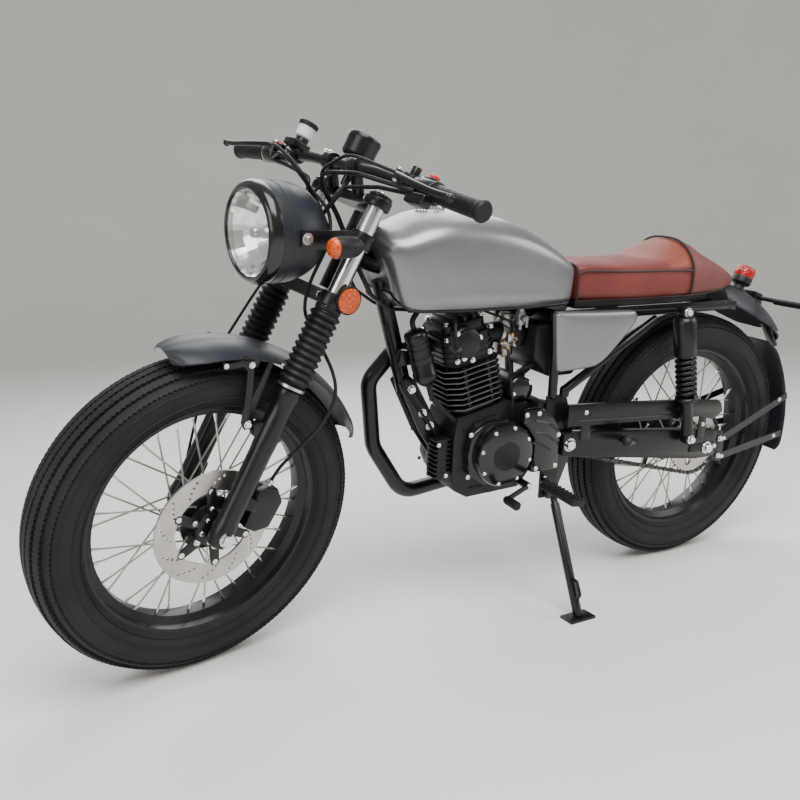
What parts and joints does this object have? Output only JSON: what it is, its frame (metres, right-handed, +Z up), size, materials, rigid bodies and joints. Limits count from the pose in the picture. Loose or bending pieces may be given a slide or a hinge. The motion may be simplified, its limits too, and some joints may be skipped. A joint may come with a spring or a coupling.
{
  "type": "cafe racer motorcycle",
  "caption": "Leaned cafe racer with wire wheels, slab tank, humped brown seat, finned single engine, gaitered fork and round lamp; wheels, steering and stand move.",
  "frame": {"origin": "middle of the overall box on the floor plane", "axes": "+X forward along the parked machine, +Y to its left, the side that it leans to, +Z up"},
  "size_m": [2.003, 0.783, 1.1183],
  "materials": {
    "tyre_rubber": "moulded rubber with a sawtooth tread",
    "soft_rubber": "matt black rubber",
    "rim_black": "satin black rim with bright spokes and hub",
    "bare_steel": "ground steel",
    "dark_steel": "oiled dark steel",
    "chrome": "polished",
    "black_paint": "satin black paint",
    "matt_black": "matt black paint",
    "silver_paint": "brushed silver paint, satin",
    "engine_black": "heat-proof satin black",
    "engine_alloy": "black coated cast alloy with bright edges",
    "brown_leather": "padded red-brown leather with stitching",
    "black_plastic": "grained",
    "gloss_black": "gloss",
    "clear_glass": "fluted clear lens",
    "amber_lens": "amber lens",
    "red_lens": "red lens"
  },
  "bodies": {
    "frame": {"drive_chain": "dark_steel", "swingarm": "black_paint", "rear_axle": "bare_steel", "rear_brake_plate": "engine_alloy", "pivot_plates": "black_paint", "seat_rails": "black_paint", "rear_struts": "black_paint", "backbone_frame": "black_paint", "down_tube": "black_paint", "engine_plates": "black_paint", "crankcase": "engine_alloy", "engine_covers": "engine_black", "finned_cylinder": "engine_black", "cylinder_head": "engine_black", "intake": "black_plastic", "exhaust_header": "engine_black", "muffler": "engine_black", "fuel_tank": "silver_paint", "fuel_cap": "chrome", "seat": "brown_leather", "seat_base": "black_plastic", "side_covers": "silver_paint", "rear_fender": "matt_black", "rear_lamps": "red_lens", "rear_hugger": "matt_black", "rear_shocks": "black_paint", "shock_springs": "black_paint", "chain_guard": "black_plastic", "foot_controls": "black_paint", "oil_canister": "engine_black", "regulator": "engine_alloy", "stand_bracket": "black_paint"},
    "fork": {"fork_sliders": "black_paint", "upper_fork": "chrome", "fork_gaiters": "soft_rubber", "front_axle": "bare_steel", "handlebar": "black_paint", "hand_grips": "soft_rubber", "bar_controls": "black_plastic", "speedometer": "gloss_black", "headlight_shell": "matt_black", "headlight_lens": "clear_glass", "lamp_brackets": "black_paint", "front_indicators": "amber_lens", "front_fender": "matt_black", "brake_caliper": "engine_alloy", "brake_hose": "soft_rubber"},
    "front_wheel": {"front_tyre": "tyre_rubber", "front_wire_wheel": "rim_black", "brake_disc": "bare_steel"},
    "rear_wheel": {"rear_tyre": "tyre_rubber", "rear_wire_wheel": "rim_black", "rear_sprocket": "bare_steel"},
    "stand": {"side_stand": "black_paint"}
  },
  "joints": [
    {"name": "steering", "type": "hinge", "parent": "frame", "child": "fork", "pos_m": [0.61474, -0.10437, 0.30882], "axis": [-0.4534, 0.1086, 0.8847], "range_deg": [-51, 25]},
    {"name": "front_wheel_spin", "type": "hinge", "parent": "fork", "child": "front_wheel", "pos_m": [0.66684, -0.08774, 0.33349], "axis": [-0.2006, 0.9547, -0.22], "continuous": true},
    {"name": "rear_wheel_spin", "type": "hinge", "parent": "frame", "child": "rear_wheel", "pos_m": [-0.63779, -0.10105, 0.33666], "axis": [-0.0001, 0.9925, -0.1219], "continuous": true},
    {"name": "side_stand", "type": "hinge", "parent": "frame", "child": "stand", "pos_m": [-0.14983, -0.00838, 0.27057], "axis": [0.1105, 0.9045, 0.4118], "range_deg": [0, 85]}
  ]
}
